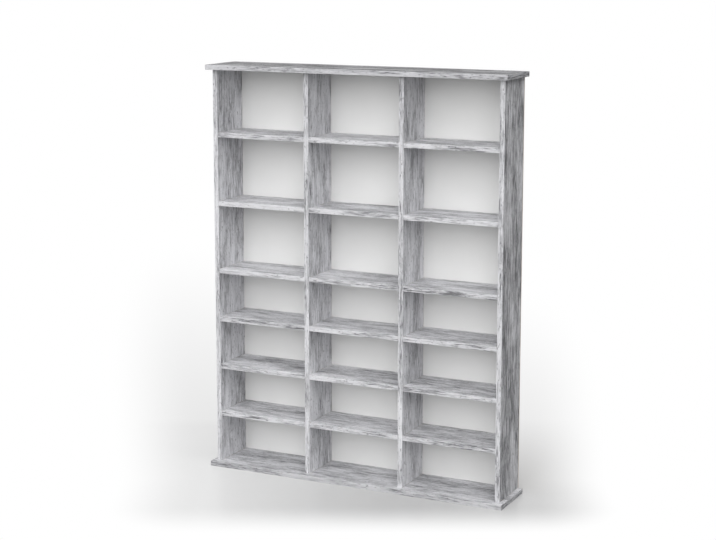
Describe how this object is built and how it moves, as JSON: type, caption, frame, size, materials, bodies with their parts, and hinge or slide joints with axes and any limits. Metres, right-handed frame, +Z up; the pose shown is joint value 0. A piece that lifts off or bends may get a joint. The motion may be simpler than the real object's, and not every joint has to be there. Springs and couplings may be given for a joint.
{
  "type": "cd rack",
  "caption": "Tall free-standing open rack for CD and DVD cases, with side boards, dividers, fixed shelves, a thin back and overhanging top and base boards.",
  "frame": {"origin": "on the floor, under the middle of the rack: the centre of the bottom of its bounding box", "axes": "+Z up, +Y towards the closed back, so the open front faces -Y, +X to the right as seen from the front"},
  "size_m": [1.036, 0.185, 1.333],
  "materials": {
    "decor_board": "matt grey weathered-wood decor on chipboard, edges banded in the same decor",
    "back_sheet": "thin hardboard, lacquered matt white on the inside",
    "dowel_wood": "plain beech dowel",
    "zinc_steel": "zinc-plated steel and die-cast zinc fittings",
    "cap_plastic": "matt grey plastic cover cap"
  },
  "bodies": {
    "root": {"top_panel": "decor_board", "base_panel": "decor_board", "left_side": "decor_board", "left_divider": "decor_board", "right_divider": "decor_board", "right_side": "decor_board", "shelf_left_1": "decor_board", "shelf_left_2": "decor_board", "shelf_left_3": "decor_board", "shelf_left_4": "decor_board", "shelf_left_5": "decor_board", "shelf_left_6": "decor_board", "shelf_middle_1": "decor_board", "shelf_middle_2": "decor_board", "shelf_middle_3": "decor_board", "shelf_middle_4": "decor_board", "shelf_middle_5": "decor_board", "shelf_middle_6": "decor_board", "shelf_right_1": "decor_board", "shelf_right_2": "decor_board", "shelf_right_3": "decor_board", "shelf_right_4": "decor_board", "shelf_right_5": "decor_board", "shelf_right_6": "decor_board", "back_left": "back_sheet", "back_middle": "back_sheet", "back_right": "back_sheet", "dowel_left_side_front": "dowel_wood", "dowel_left_side_rear": "dowel_wood", "dowel_left_divider_front": "dowel_wood", "dowel_left_divider_rear": "dowel_wood", "dowel_right_divider_front": "dowel_wood", "dowel_right_divider_rear": "dowel_wood", "dowel_right_side_front": "dowel_wood", "dowel_right_side_rear": "dowel_wood", "cam_bolt_left_side": "zinc_steel", "cam_bolt_left_divider": "zinc_steel", "cam_bolt_right_divider": "zinc_steel", "cam_bolt_right_side": "zinc_steel", "cam_lock_left_side": "zinc_steel", "cam_lock_left_divider": "zinc_steel", "cam_lock_right_divider": "zinc_steel", "cam_lock_right_side": "zinc_steel", "base_screw_left_side_front": "zinc_steel", "base_screw_left_side_rear": "zinc_steel", "base_screw_left_divider_front": "zinc_steel", "base_screw_left_divider_rear": "zinc_steel", "base_screw_right_divider_front": "zinc_steel", "base_screw_right_divider_rear": "zinc_steel", "base_screw_right_side_front": "zinc_steel", "base_screw_right_side_rear": "zinc_steel", "cam_cap_left_side": "cap_plastic", "cam_cap_left_divider": "cap_plastic", "cam_cap_right_divider": "cap_plastic", "cam_cap_right_side": "cap_plastic"}
  },
  "joints": []
}
